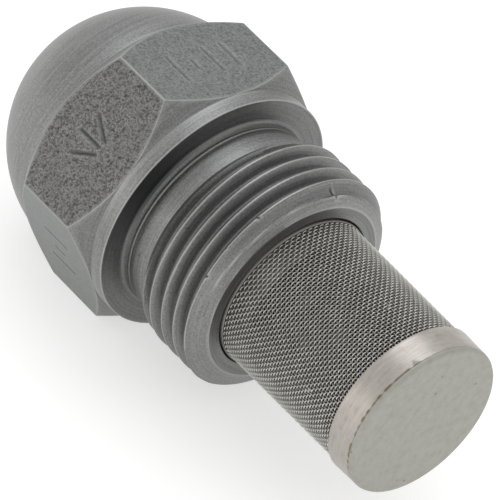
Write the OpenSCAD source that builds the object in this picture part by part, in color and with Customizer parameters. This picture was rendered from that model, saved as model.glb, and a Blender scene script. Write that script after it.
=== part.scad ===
// Oil burner nozzle. A steel body with a hexagon, a domed spray end and a
// threaded shank holds an orifice disc, a swirl distributor and the screw that
// clamps them. A woven-wire strainer screws into the back of the body.
//
// Lengths are millimetres. Every turned piece is drawn standing up, with its
// height measured from the sealing face at the back of the body towards the
// spray end. lay_down() then turns it on its side. In the finished part the
// axis lies along X, the spray end points to -X, the strainer points to +X,
// and one flat of the hexagon faces up.

/* [Hexagon and dome] */
// Width across the flats of the hexagon, for a 5/8 inch spanner
hex_af = 15.875; // [15:0.005:20]
// Length of the hexagon's corners between the two bevels
hex_l = 4.07; // [2.5:0.01:8]
// Length of the bevel that runs from the collar up to the corners
rear_bevel_l = 1.09; // [0.6:0.01:1.6]
// Angle of the front bevel from the axis
front_bevel_deg = 46; // [40:1:50]
// How far the round collar stays inside the hexagon's flats
collar_inset = 0.0135; // [0.01:0.0005:0.2]
// Length of the round collar behind the hexagon
collar_l = 0.945; // [0.6:0.005:2]
// How far the dome stays inside the hexagon's flats
dome_inset = 0.0475; // [0.03:0.0005:0.2]
// Height of the dome's centre above the front corners
dome_rise = 0.38; // [0.1:0.01:1]
// Width of the flat ring around the hole at the spray end
tip_land = 0.4; // [0.25:0.05:0.8]

/* [Threaded shank] */
// Major radius of the 9/16-24 thread
thread_r = 7.144; // [7:0.001:7.5]
// Pitch of the thread, 24 to the inch
thread_pitch = 1.0583; // [0.8:0.0001:1.3]
// Distance from the sealing face to the end of the full thread
full_thread_l = 4.55; // [3.5:0.01:8]
// Width of the lead-in bevel on the sealing face
lead_in_w = 1.244; // [0.8:0.002:1.4]
// Length of the lead-in bevel
lead_in_l = 0.6; // [0.3:0.01:0.8]
// Radius of the thread relief
relief_r = 6.37; // [6.2:0.01:6.45]
// Length of the relief between the thread's run-out and the collar
relief_l = 2.05; // [1:0.01:4]
// Radius of the fillet between the relief and the collar
relief_fillet = 0.22; // [0.05:0.01:0.4]

/* [Bores] */
// Radius of the tapped bore, measured at the tips of its thread
bore_r = 4.35; // [3.5:0.01:4.5]
// How much wider the rear bore is than the tapped bore
rear_bore_step = 0.80; // [0.6:0.01:0.9]
// Depth of the rear bore from the sealing face
rear_bore_l = 3.2; // [2:0.05:4]
// Width of the bevel at the mouth of the rear bore
mouth_bevel = 0.05; // [0.02:0.01:0.2]
// Depth of the inner threads
inner_thread_depth = 0.32; // [0.2:0.01:0.4]
// Pitch of the inner threads
inner_thread_pitch = 0.75; // [0.5:0.05:1]
// Radius of the hole at the spray end
front_hole_r = 2.7; // [2.2:0.05:2.8]
// Length of that hole, up to the conical seat
front_land_l = 1.92; // [1.5:0.01:3]

/* [Orifice disc] */
// Wall around the cup in the back of the disc
disc_rim_w = 0.9; // [0.5:0.05:1.2]
// Length of the disc behind its conical seat
disc_body_l = 2.5; // [1.5:0.05:4]
// How far the disc's nose stands back from the spray end
nose_recess = 0.15; // [0.05:0.01:0.5]
// Radius of the metering orifice
orifice_r = 0.15; // [0.1:0.01:0.4]
// Length of the metering orifice
orifice_l = 0.3; // [0.2:0.05:0.6]
// Radius of the dimple in front of the orifice
dimple_r = 0.9; // [0.5:0.05:1.5]
// Depth of that dimple
dimple_l = 0.35; // [0.2:0.05:0.6]
// Radius of the swirl chamber
swirl_r = 0.65; // [0.5:0.05:1]
// Length of the swirl chamber
swirl_l = 0.6; // [0.3:0.05:1]

/* [Swirl distributor] */
// Length of the distributor behind its cone
distributor_l = 3.6; // [2.5:0.05:5]
// Length of its guide band, next to the cone
guide_l = 0.9; // [0.5:0.05:1.5]
// Length of its foot, which the retaining screw bears on
foot_l = 1.2; // [0.6:0.05:1.5]
// How much narrower the foot is than the guide band
foot_inset = 0.3; // [0.1:0.05:0.6]
// Radius of its stem
stem_r = 2.3; // [1.5:0.05:2.5]
// Number of tangential swirl slots
slot_count = 4; // [2:1:6]
// Width of a swirl slot
slot_w = 0.45; // [0.2:0.05:0.6]
// Depth of a swirl slot below the cone
slot_depth = 0.35; // [0.2:0.05:0.5]

/* [Retaining screw] */
// Length of the retaining screw
screw_l = 3.4; // [2.5:0.05:5]
// Radius of the hole through it
screw_hole_r = 1.0; // [0.5:0.05:1.5]
// Width of its driver slot and of its flow ports
driver_slot_w = 1.1; // [0.6:0.05:1.5]
// Depth of its driver slot and of its flow ports
driver_slot_depth = 1.0; // [0.5:0.05:1.2]

/* [Strainer] */
// How far the woven wire stays inside the edge of the hub's collar
mesh_inset = 0.054; // [0.03:0.002:0.2]
// How much narrower the woven wire is at the cap
mesh_taper = 0.086; // [0:0.002:0.15]
// Thickness of the woven wire
cloth_t = 0.17; // [0.1:0.01:0.2]
// Length of woven wire that shows between the hub's collar and the cap
mesh_l = 9.59; // [6:0.01:14]
// How far the hub's collar stands out of the body
collar_out = 0.13; // [0.1:0.01:1]
// Length of the land that the woven wire is fixed to
land_l = 1.5; // [0.8:0.05:2.5]
// Length of the spigot that carries the support core
spigot_l = 1.3; // [0.8:0.05:2.5]
// Radius of the hub's passage
passage_r = 3.0; // [2:0.05:3.1]
// Length of the hub's threaded tail in front of its collar
tail_l = 3.45; // [2:0.05:4.5]
// Wall of the support core
core_t = 0.4; // [0.3:0.01:0.6]
// Gap between the support core and the woven wire at the cap
core_gap = 0.1; // [0.05:0.01:0.3]
// Radius of the holes in the support core
core_hole_r = 0.6; // [0.3:0.05:0.8]
// Rows of holes along the core
core_rows = 5; // [3:1:8]
// Number of holes around the core in each row
core_holes = 8; // [6:1:12]

/* [Strainer cap] */
// Wall of the cap ring at its open edge
cap_wall = 0.155; // [0.1:0.005:0.25]
// Length of the cap ring
cap_ring_l = 1.73; // [1:0.01:4]
// How much narrower the cap ring is where it meets the end disc
cap_taper = 0.045; // [0:0.005:0.1]
// Thickness of the end disc outside the ring
end_disc_t = 0.29; // [0.2:0.01:1]
// Radius of the rounded rim of the end disc
end_disc_round = 0.25; // [0.1:0.01:0.28]
// Length of the plug on the end disc, inside the ring
plug_l = 0.3; // [0.2:0.05:1]

/* [Clearances] */
// Radial clearance of a screwed or pushed-in piece in its bore
fit_gap = 0.07; // [0.03:0.01:0.1]
// Gap drawn between two faces that seat on each other
seat_gap = 0.05; // [0.03:0.01:0.1]
// Gap drawn between pieces that are soldered or pressed together
joint_gap = 0.01; // [0.005:0.005:0.03]

/* [Stamped marks] */
// Depth of the stamped marks
mark_depth = 0.14; // [0.05:0.01:0.3]
// Width of a stamped stroke
mark_w = 0.24; // [0.15:0.01:0.5]
// Half the length of a long bar in a row of bars
bar_half = 1; // [0.6:0.05:1.5]
// Distance from one bar to the next
bar_step = 1.3; // [0.6:0.05:1.8]
// Radius at which the rays of the spray fan end
fan_r = 2.5; // [1.8:0.05:2.7]
// Angle between two rays of the spray fan
fan_deg = 32; // [20:1:40]

/* [Hidden] */
$fn = 96;

// How far a cutting shape runs past what it cuts
over = 1;

// Radii that follow the hexagon
corner_r = hex_af / sqrt(3);
collar_r = hex_af / 2 - collar_inset;
dome_r = hex_af / 2 - dome_inset;

// Heights along the outside, from the sealing face to the tip
thread_end = full_thread_l + thread_r - relief_r;
shoulder = thread_end + relief_l;
bevel_foot = shoulder + collar_l;
rear_corner = bevel_foot + rear_bevel_l;
front_corner = rear_corner + hex_l;
dome_centre = front_corner + dome_rise;
tip_r = front_hole_r + tip_land;
tip = dome_centre + sqrt(pow(dome_r, 2) - pow(tip_r, 2));

// Slopes of the two bevels, as radius per length
rear_slope = (corner_r - collar_r) / rear_bevel_l;
front_slope = tan(front_bevel_deg);

// The unified thread form: 60 degree flanks, a crest of an eighth of a pitch,
// and a depth of 17/24 of the height of the sharp triangle
flank = tan(30);
thread_height = thread_pitch * cos(30);
thread_depth = 17 / 24 * thread_height;
root_r = thread_r - thread_depth;
sharp_r = thread_r + thread_height / 8;

// Heights of the conical seat at the spray end. Its cone is 45 degrees.
seat_top = tip - front_land_l;
seat_foot = seat_top - (bore_r - front_hole_r);
rear_bore_r = bore_r + rear_bore_step;

// The orifice disc
disc_r = bore_r - fit_gap;
nose_r = front_hole_r - fit_gap;
cup_r = disc_r - disc_rim_w;
disc_back = seat_foot - seat_gap - disc_body_l;
nose_front = tip - nose_recess;
orifice_front = nose_front - dimple_l;
orifice_back = orifice_front - orifice_l;
swirl_front = orifice_back - (swirl_r - orifice_r);
swirl_back = swirl_front - swirl_l;
cup_foot = swirl_back - (cup_r - swirl_r);

// The distributor's cone lies in the cup, a seat gap behind it
guide_r = cup_r - fit_gap;
cone_tip = swirl_back - 2 * seat_gap;
cone_tip_r = swirl_r + seat_gap;
cone_foot = cone_tip - (guide_r - cone_tip_r);
distributor_back = cone_foot - distributor_l;

// The retaining screw bears on the distributor, and the hub's tail has its
// radius too, because both go into the tapped bore
screw_r = bore_r - fit_gap;
screw_front = distributor_back - seat_gap;
screw_back = screw_front - screw_l;

// The tapped bore's thread keeps in step with the retaining screw's, and
// stops short of the disc
screw_crest = screw_back + inner_thread_depth;
tap_start = rear_bore_l + inner_thread_pitch / 2;
tap_end = disc_back - inner_thread_pitch;
tap_crest = screw_crest
    - inner_thread_pitch * floor((screw_crest - tap_start) / inner_thread_pitch);

// The strainer, from the hub's collar in the rear bore out to the cap
hub_collar_r = rear_bore_r - fit_gap;
hub_collar_front = rear_bore_l - seat_gap;
land_top = -collar_out;
mesh_r = hub_collar_r - mesh_inset;
land_r = mesh_r - cloth_t - joint_gap;
land_foot = land_top - land_l;
mesh_out = land_top - mesh_l;
mesh_slope = mesh_taper / mesh_l;
land_foot_r = land_r - mesh_slope * land_l;
ring_foot = mesh_out - cap_ring_l;
plug_top = ring_foot + plug_l;
mesh_foot = plug_top + joint_gap;
ring_bore_r = mesh_r - mesh_taper + joint_gap;
cap_r = ring_bore_r + cap_wall;
ring_foot_r = cap_r - cap_taper;
core_r = mesh_r - mesh_taper - cloth_t - core_gap;
core_bore_r = core_r - core_t;
spigot_r = core_bore_r - joint_gap;
disc_foot = ring_foot - joint_gap - end_disc_t;

// Points of a row of thread rings on a shaft, from the first crest on.
// A bore uses the same points with the two radii changed over.
function thread_rings(first, count, pitch, crest_r, valley_r) =
    let (run = abs(crest_r - valley_r) * flank, flat = pitch / 8)
    [for (k = [0 : count - 1], p = [
        [crest_r, first + k * pitch],
        [crest_r, first + k * pitch + flat],
        [valley_r, first + k * pitch + flat + run],
        [valley_r, first + (k + 1) * pitch - run]
    ]) p];

// Points of a quarter circle from one angle to another
function arc(centre_r, centre_h, r, from, to, steps = 6) =
    [for (i = [0 : steps]) let (t = from + (to - from) * i / steps)
        [centre_r + r * cos(t), centre_h + r * sin(t)]];

module turned(points) {
    rotate_extrude() polygon(points);
}

// Turns a standing piece on its side, with its top towards -X
module lay_down() {
    rotate([0, -90, 0]) children();
}

// The outside of the body without its thread and its flats
module body_blank() {
    past = 0.4;
    inside = 0.8;
    turned(concat(
        [
            [0, 0],
            [thread_r - lead_in_w, 0],
            [thread_r, lead_in_l],
            [thread_r, full_thread_l],
            [relief_r, thread_end]
        ],
        arc(relief_r + relief_fillet, shoulder - relief_fillet, relief_fillet, 180, 90),
        [
            [collar_r, shoulder],
            [collar_r, bevel_foot],
            [corner_r + past, rear_corner + past / rear_slope],
            [corner_r + past, front_corner - past / front_slope],
            [corner_r - front_slope * (dome_rise + inside), dome_centre + inside],
            [0, dome_centre + inside]
        ]
    ));
    translate([0, 0, dome_centre]) sphere(dome_r);
}

// A block with thread rings on its lower end, which shapes the shank
module threaded_block() {
    wide = corner_r + over;
    rings = ceil(thread_end / thread_pitch) + 1;
    first = lead_in_l + thread_pitch / 16 - thread_pitch;
    half_tooth = (sharp_r - root_r) * flank;
    turned(concat(
        [[0, first - over]],
        [[root_r, first - over]],
        [for (k = [0 : rings - 1], p = [
            [root_r, first + k * thread_pitch - half_tooth],
            [sharp_r, first + k * thread_pitch],
            [root_r, first + k * thread_pitch + half_tooth]
        ]) if (first + k * thread_pitch + half_tooth < thread_end) p],
        [
            [root_r, thread_end],
            [wide, thread_end],
            [wide, tip],
            [0, tip]
        ]
    ));
}

module hexagon_bar() {
    rotate([0, 0, 30]) translate([0, 0, -over])
        cylinder(h = tip + 2 * over, r = corner_r, $fn = 6);
}

// Everything that is bored and tapped out of the body
module body_bores() {
    rings = floor((tap_end - tap_crest) / inner_thread_pitch);
    lip = 0.15;
    turned(concat(
        [
            [0, -over],
            [rear_bore_r + mouth_bevel + over, -over],
            [rear_bore_r, mouth_bevel],
            [rear_bore_r, rear_bore_l],
            [bore_r, rear_bore_l]
        ],
        thread_rings(tap_crest, rings, inner_thread_pitch, bore_r, bore_r + inner_thread_depth),
        [
            [bore_r, tap_crest + rings * inner_thread_pitch],
            [bore_r, seat_foot],
            [front_hole_r, seat_top],
            [front_hole_r, tip - lip],
            [front_hole_r + lip + over, tip + over],
            [0, tip + over]
        ]
    ));
}

// Places a mark on the flat that is turned by `turn` from the upper one.
// Its X runs around the body and its Y towards the spray end.
module on_flat(turn, middle) {
    rotate([0, 0, turn]) translate([hex_af / 2, 0, middle])
        rotate([90, 0, 90]) translate([0, 0, -mark_depth])
            linear_extrude(mark_depth + over) children();
}

// A stamped stroke between two points, with round ends
module stroke(from, to) {
    run = to - from;
    length = norm(run);
    translate(from) rotate(atan2(run[1], run[0])) {
        translate([0, -mark_w / 2]) square([length, mark_w]);
        circle(mark_w / 2, $fn = 24);
        translate([length, 0]) circle(mark_w / 2, $fn = 24);
    }
}

// A spray fan for the flat in front: a dot with three rays, its middle at 0
module spray_fan() {
    ray_start = fan_r / 3;
    translate([0, -fan_r / 2]) {
        circle(mark_w, $fn = 24);
        for (a = [-fan_deg, 0, fan_deg])
            stroke(ray_start * [sin(a), cos(a)], fan_r * [sin(a), cos(a)]);
    }
}

// A row of bars, the second one short
module tally(count) {
    short_half = 0.4 * bar_half;
    for (i = [0 : count - 1]) {
        half = i == 1 ? short_half : bar_half;
        at = (i - (count - 1) / 2) * bar_step;
        stroke([at, -half], [at, half]);
    }
}

module nozzle_body() {
    mark_middle = (rear_corner + front_corner) / 2;
    color("slategray") lay_down() difference() {
        intersection() {
            body_blank();
            threaded_block();
            hexagon_bar();
        }
        body_bores();
        on_flat(-60, mark_middle) spray_fan();
        on_flat(0, mark_middle) tally(4);
        on_flat(-120, mark_middle) tally(3);
    }
}

module orifice_disc() {
    color("silver") lay_down() turned([
        [cup_r, disc_back],
        [disc_r, disc_back],
        [disc_r, seat_foot - seat_gap],
        [nose_r, seat_foot - seat_gap + disc_r - nose_r],
        [nose_r, nose_front],
        [dimple_r, nose_front],
        [orifice_r, orifice_front],
        [orifice_r, orifice_back],
        [swirl_r, swirl_front],
        [swirl_r, swirl_back],
        [cup_r, cup_foot]
    ]);
}

// One slot cut into the cone, beside its middle so that the oil spins
module swirl_slot() {
    cone_l = (guide_r - cone_tip_r) * sqrt(2);
    translate([cone_tip_r, swirl_r - slot_w / 2, cone_tip]) rotate([0, 135, 0])
        translate([-over - cone_tip_r, -slot_w / 2, -slot_depth])
            cube([cone_l + 2 * over + cone_tip_r, slot_w, slot_depth + over]);
}

module swirl_distributor() {
    foot_r = guide_r - foot_inset;
    color("lightgray") lay_down() difference() {
        turned([
            [0, distributor_back],
            [foot_r, distributor_back],
            [foot_r, distributor_back + foot_l],
            [stem_r, distributor_back + foot_l],
            [stem_r, cone_foot - guide_l],
            [guide_r, cone_foot - guide_l],
            [guide_r, cone_foot],
            [cone_tip_r, cone_tip],
            [0, cone_tip]
        ]);
        for (i = [0 : slot_count - 1]) rotate([0, 0, i * 360 / slot_count]) swirl_slot();
    }
}

// A screwed shaft with a hole through it, between two heights
module screwed_shaft(back, front, r, hole_r) {
    edge = inner_thread_depth;
    root = r - edge;
    rings = floor((front - back - 2 * edge - inner_thread_pitch / 8) / inner_thread_pitch);
    turned(concat(
        [[hole_r, back], [root, back], [root, back + edge * (1 - flank)]],
        thread_rings(back + edge, rings, inner_thread_pitch, r, root),
        [[root, front], [hole_r, front]]
    ));
}

module retaining_screw() {
    color("goldenrod") lay_down() difference() {
        screwed_shaft(screw_back, screw_front, screw_r, screw_hole_r);
        // the driver slot behind, and two crossed flow ports in front
        translate([-screw_r - over, -driver_slot_w / 2, screw_back - over])
            cube([2 * (screw_r + over), driver_slot_w, driver_slot_depth + over]);
        for (turn = [0, 90]) rotate([0, 0, turn])
            translate([-screw_r - over, -driver_slot_w / 2, screw_front - driver_slot_depth])
                cube([2 * (screw_r + over), driver_slot_w, driver_slot_depth + over]);
    }
}

module strainer_hub() {
    overlap = 0.1;
    color("darkkhaki") lay_down() {
        turned([
            [passage_r, land_foot - spigot_l],
            [spigot_r, land_foot - spigot_l],
            [spigot_r, land_foot],
            [land_foot_r, land_foot],
            [land_r, land_top],
            [hub_collar_r, land_top],
            [hub_collar_r, hub_collar_front],
            [passage_r, hub_collar_front]
        ]);
        screwed_shaft(hub_collar_front - overlap, hub_collar_front + tail_l,
            screw_r, passage_r);
    }
}

module strainer_support_core() {
    top = land_foot - joint_gap;
    foot = mesh_foot;
    // the rows of holes start where the spigot ends
    row_top = land_foot - spigot_l - core_hole_r;
    row_step = (row_top - foot - 2 * core_hole_r) / (core_rows - 1);
    color("dimgray") lay_down() difference() {
        translate([0, 0, foot]) cylinder(h = top - foot, r = core_r);
        translate([0, 0, foot - over]) cylinder(h = top - foot + 2 * over, r = core_bore_r);
        for (row = [0 : core_rows - 1], i = [0 : core_holes - 1])
            translate([0, 0, row_top - row * row_step])
                rotate([0, 0, (i + row % 2 / 2) * 360 / core_holes]) rotate([0, 90, 0])
                    translate([0, 0, core_bore_r - over / 2])
                        cylinder(h = core_t + over, r = core_hole_r);
    }
}

module strainer_mesh() {
    narrow_r = mesh_r - mesh_slope * (land_top - joint_gap - mesh_foot);
    color("gray") lay_down() turned([
        [mesh_r - cloth_t, land_top - joint_gap],
        [mesh_r, land_top - joint_gap],
        [narrow_r, mesh_foot],
        [narrow_r - cloth_t, mesh_foot]
    ]);
}

module strainer_cap_ring() {
    lip = 0.04;
    color("gainsboro") lay_down() turned([
        [ring_bore_r, mesh_out],
        [cap_r - lip, mesh_out],
        [cap_r, mesh_out - lip],
        [ring_foot_r, ring_foot],
        [ring_bore_r, ring_foot]
    ]);
}

module strainer_end_disc() {
    flat_r = ring_foot_r - end_disc_round;
    color("lightslategray") lay_down() turned(concat(
        [[0, disc_foot]],
        arc(flat_r, disc_foot + end_disc_round, end_disc_round, -90, 0),
        [
            [ring_foot_r, ring_foot - joint_gap],
            [ring_bore_r - joint_gap, ring_foot - joint_gap],
            [ring_bore_r - joint_gap, plug_top],
            [0, plug_top]
        ]
    ));
}

nozzle_body();
orifice_disc();
swirl_distributor();
retaining_screw();
strainer_hub();
strainer_support_core();
strainer_mesh();
strainer_cap_ring();
strainer_end_disc();
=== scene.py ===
# Oil burner nozzle: a steel body with a hexagon, a domed spray end and a threaded shank, the
# pieces inside it that meter and swirl the oil, and the woven-wire strainer screwed in behind.
# The axis lies along X, with the spray end at -X and the strainer at +X. Heights called `a` run
# from the sealing face at X = 0 towards the spray end. Sizes are millimetres until a mesh is made.
import math

import bpy
import numpy as np
from mathutils import Matrix, Vector


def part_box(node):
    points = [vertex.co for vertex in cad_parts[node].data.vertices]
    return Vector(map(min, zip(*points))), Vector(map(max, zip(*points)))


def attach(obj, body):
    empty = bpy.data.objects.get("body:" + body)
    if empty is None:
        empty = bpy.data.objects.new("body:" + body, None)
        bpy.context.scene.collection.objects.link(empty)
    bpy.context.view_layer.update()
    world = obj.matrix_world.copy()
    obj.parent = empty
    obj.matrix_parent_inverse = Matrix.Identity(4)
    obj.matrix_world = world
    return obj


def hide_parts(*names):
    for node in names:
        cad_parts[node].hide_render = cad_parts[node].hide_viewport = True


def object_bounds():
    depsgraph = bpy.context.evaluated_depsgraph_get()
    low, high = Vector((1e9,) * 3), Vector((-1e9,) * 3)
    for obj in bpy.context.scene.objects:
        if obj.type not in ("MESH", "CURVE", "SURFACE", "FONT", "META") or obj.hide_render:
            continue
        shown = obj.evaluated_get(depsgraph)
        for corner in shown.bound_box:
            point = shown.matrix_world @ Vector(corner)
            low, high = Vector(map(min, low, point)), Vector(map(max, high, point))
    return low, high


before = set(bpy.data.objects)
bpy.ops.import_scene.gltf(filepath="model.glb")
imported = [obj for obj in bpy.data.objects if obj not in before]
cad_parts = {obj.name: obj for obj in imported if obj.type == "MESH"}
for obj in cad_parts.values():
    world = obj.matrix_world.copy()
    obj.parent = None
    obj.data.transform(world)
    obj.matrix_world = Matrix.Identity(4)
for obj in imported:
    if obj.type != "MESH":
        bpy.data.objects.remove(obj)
cad_low, cad_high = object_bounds()
MM = 0.001


# ----------------------------------
# Camera. A long lens looks down on the strainer's end from the right, and is rolled so that the
# nozzle lies from the upper left to the lower right.
camera_azimuth = math.radians(39.66)
camera_elevation = math.radians(36.53)
camera_roll = math.radians(18.57)
camera_distance = 336.2 * MM
camera_aim = (cad_low + cad_high) / 2 + Vector((0.57, 0.24, -0.25)) * MM

back = Vector((math.sin(camera_azimuth) * math.cos(camera_elevation),
               -math.cos(camera_azimuth) * math.cos(camera_elevation),
               math.sin(camera_elevation)))
level = Vector((math.cos(camera_azimuth), math.sin(camera_azimuth), 0))
upright = back.cross(level)
right = level * math.cos(camera_roll) + upright * math.sin(camera_roll)
camera_data = bpy.data.cameras.new("camera")
camera_data.sensor_width = 36
camera_data.lens = 429.2
camera = bpy.data.objects.new("camera", camera_data)
camera.matrix_world = Matrix.Translation(camera_aim + back * camera_distance) @ Matrix(
    (right, back.cross(right), back)).transposed().to_4x4()
bpy.context.scene.collection.objects.link(camera)
bpy.context.scene.camera = camera


# ----------------------------------
# Nozzle body. One piece of free-cutting steel: hexagon bar turned to a dome in front and to a
# collar, a relief and a 9/16-24 thread behind, then bored and tapped from the back. The flats
# keep the pitted skin of the bar, and carry a stamped spray fan and two rows of bars.
body_low, body_high = (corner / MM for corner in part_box("nozzle_body"))
tip = -body_low.x
flat = body_high.z
corner_r = flat / math.cos(math.radians(30))
collar_r, shoulder, bevel_foot = 7.924, 7.374, 8.319
rear_corner, front_corner = 9.409, 13.479
front_slope = math.tan(math.radians(46))
dome_r, dome_centre, tip_r = 7.89, 13.859, 3.1
thread_r, pitch, relief_r = 7.144, 25.4 / 24, 6.37
lead_in_r, lead_in_l, full_thread, thread_end = 5.9, 0.6, 4.55, 5.324
edge_round = 0.12


def around_axis(a, r, turn):
    """Points at a height, a radius and angles about the axis, in mm."""
    a, r, turn = np.broadcast_arrays(a, r, turn)
    return np.stack([-a, r * np.cos(turn), r * np.sin(turn)], -1)


def between(lower, upper):
    """Quads between two closed rings of point numbers. One ring may have a whole number of
    points to each point of the other. A triangle is a quad that names a point twice."""
    if len(lower) == len(upper):
        return np.stack([lower, np.roll(lower, -1), np.roll(upper, -1), upper], -1)
    fine, coarse = (lower, upper) if len(lower) > len(upper) else (upper, lower)
    ratio = len(fine) // len(coarse)
    after = np.roll(coarse, -1)
    middle = (ratio + 1) // 2
    quads = [np.stack([coarse, fine[middle::ratio], after, after], -1)]
    for step in range(ratio):
        near = coarse if step < middle else after
        ahead = np.roll(fine, -1)[step::ratio]
        quads.append(np.stack([near, fine[step::ratio], ahead, ahead], -1))
    quads = np.concatenate(quads)
    return quads if fine is lower else quads[:, ::-1]


def piece_from(name, points, quads, finish=None, marks=None, sharp_deg=38):
    """A mesh object from points in mm. Points less than 0.1 micron apart become one."""
    points = np.asarray(points, float).reshape(-1, 3)
    key = np.round(points / 1e-4).astype(np.int64)
    _, first, where = np.unique(key, axis=0, return_index=True, return_inverse=True)
    corners = where.ravel()[np.asarray(quads)]
    faces, slots = [], []
    for number, row in enumerate(corners.tolist()):
        face = list(dict.fromkeys(row))
        if len(face) > 2:
            faces.append(face)
            slots.append(0 if finish is None else int(finish[number]))
    mesh = bpy.data.meshes.new(name)
    mesh.from_pydata((points[first] * MM).tolist(), [], faces)
    mesh.polygons.foreach_set("material_index", slots)
    mesh.update()
    for mark, values in (marks or {}).items():
        layer = mesh.attributes.new(mark, "FLOAT", "POINT")
        layer.data.foreach_set("value", np.asarray(values, np.float32).ravel()[first])
    mesh.shade_smooth()
    mesh.set_sharp_from_angle(angle=math.radians(sharp_deg))
    made = bpy.data.objects.new(name, mesh)
    bpy.context.scene.collection.objects.link(made)
    return made


def outward(made):
    """Turns a closed mesh's faces so that they all look out of the metal."""
    mesh = made.data
    co = np.zeros(len(mesh.vertices) * 3)
    mesh.vertices.foreach_get("co", co)
    mesh.calc_loop_triangles()
    tri = np.zeros(len(mesh.loop_triangles) * 3, np.int32)
    mesh.loop_triangles.foreach_get("vertices", tri)
    p = co.reshape(-1, 3)[tri.reshape(-1, 3)]
    if np.einsum("ij,ij->", p[:, 0], np.cross(p[:, 1], p[:, 2])) < 0:
        mesh.flip_normals()
    return made


# Columns round the head: two close pairs at each corner shape its rounded edge, and the rest are
# even. The shank takes every third one, the dome every second one and the bores every sixth one.
edge_columns = np.array([0.0, 0.19])
sector = np.concatenate([edge_columns, np.linspace(0.39, 59.61, 117), [60 - edge_columns[1]]])
head_turn = np.radians((np.arange(6)[:, None] * 60 + sector).ravel())
shank_turn, dome_turn, bore_turn = head_turn[::3], head_turn[::2], head_turn[::6]

# The shank has a nick across its first groove and three chips on its first crest. Each is
# (from height and angle, to height and angle, half width, depth). Columns crowd together there.
nicks = [((0.27, 78.3), (0.68, 81.3), 0.06, 0.10), ((0.80, 123.2), (0.86, 124.0), 0.05, 0.05),
         ((0.83, 143.4), (0.84, 143.6), 0.04, 0.03), ((0.72, 158.4), (0.76, 159.0), 0.05, 0.05)]
for (_, nick_at), (_, nick_to), _, _ in nicks:
    off_nick = np.degrees(shank_turn) - (nick_at + nick_to) / 2
    shank_turn = shank_turn - 0.75 * np.radians(off_nick) * np.exp(-((off_nick / 4) ** 2))

# The hexagon's radius at each column, with its corners rounded
off_flat = np.tile(np.radians(sector) - math.radians(30), 6)
off_corner = math.radians(30) - np.abs(off_flat)
arc_centre = corner_r - edge_round / math.cos(math.radians(30))
inside = np.maximum(edge_round ** 2 - (arc_centre * np.sin(off_corner)) ** 2, 0)
rounded = arc_centre * np.cos(off_corner) + np.sqrt(inside)
sharp = flat / np.cos(off_flat)
hexagon = np.where(inside > 0, np.minimum(rounded, sharp), sharp)
along_flat = flat * np.tan(off_flat)
rear_slope = (corner_r - collar_r) / (rear_corner - bevel_foot)
flat_start = bevel_foot + (hexagon - collar_r) / rear_slope
flat_end = front_corner + (corner_r - hexagon) / front_slope

rng = np.random.default_rng(24)


def smooth_noise(u, v, cell):
    """Value noise on a plane, between -1 and 1, with cells of a size in mm."""
    grid = rng.uniform(-1, 1, (400, 400))
    u, v = u / cell + 200, v / cell + 200
    iu, iv = np.floor(u).astype(int), np.floor(v).astype(int)
    fu, fv = u - iu, v - iv
    fu, fv = fu * fu * (3 - 2 * fu), fv * fv * (3 - 2 * fv)
    low = grid[iu % 400, iv % 400] * (1 - fu) + grid[(iu + 1) % 400, iv % 400] * fu
    high = grid[iu % 400, (iv + 1) % 400] * (1 - fu) + grid[(iu + 1) % 400, (iv + 1) % 400] * fu
    return low * (1 - fv) + high * fv


def to_stroke(u, v, start, end):
    """Distance from points to a straight stroke."""
    start, end = np.array(start, float), np.array(end, float)
    run = end - start
    share = np.clip(((u - start[0]) * run[0] + (v - start[1]) * run[1]) / (run @ run), 0, 1)
    return np.hypot(u - start[0] - share * run[0], v - start[1] - share * run[1])


def spray_fan_strokes():
    """A dot and three rays, as stamped on the flat in front."""
    fan_r, foot = 2.5, -1.25
    rays = [((0, foot), (0.001, foot))]
    for lean in np.radians([-32, 0, 32]):
        way = np.array([math.sin(lean), math.cos(lean)])
        rays.append((way * fan_r / 3 + (0, foot), way * fan_r + (0, foot)))
    return rays


def bar_strokes(count):
    """A row of bars, the second one short."""
    step = 1.3
    places = (np.arange(count) - (count - 1) / 2) * step
    return [((at, -half), (at, half)) for at, half in zip(places, [1, 0.4, 1, 1])]


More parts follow.
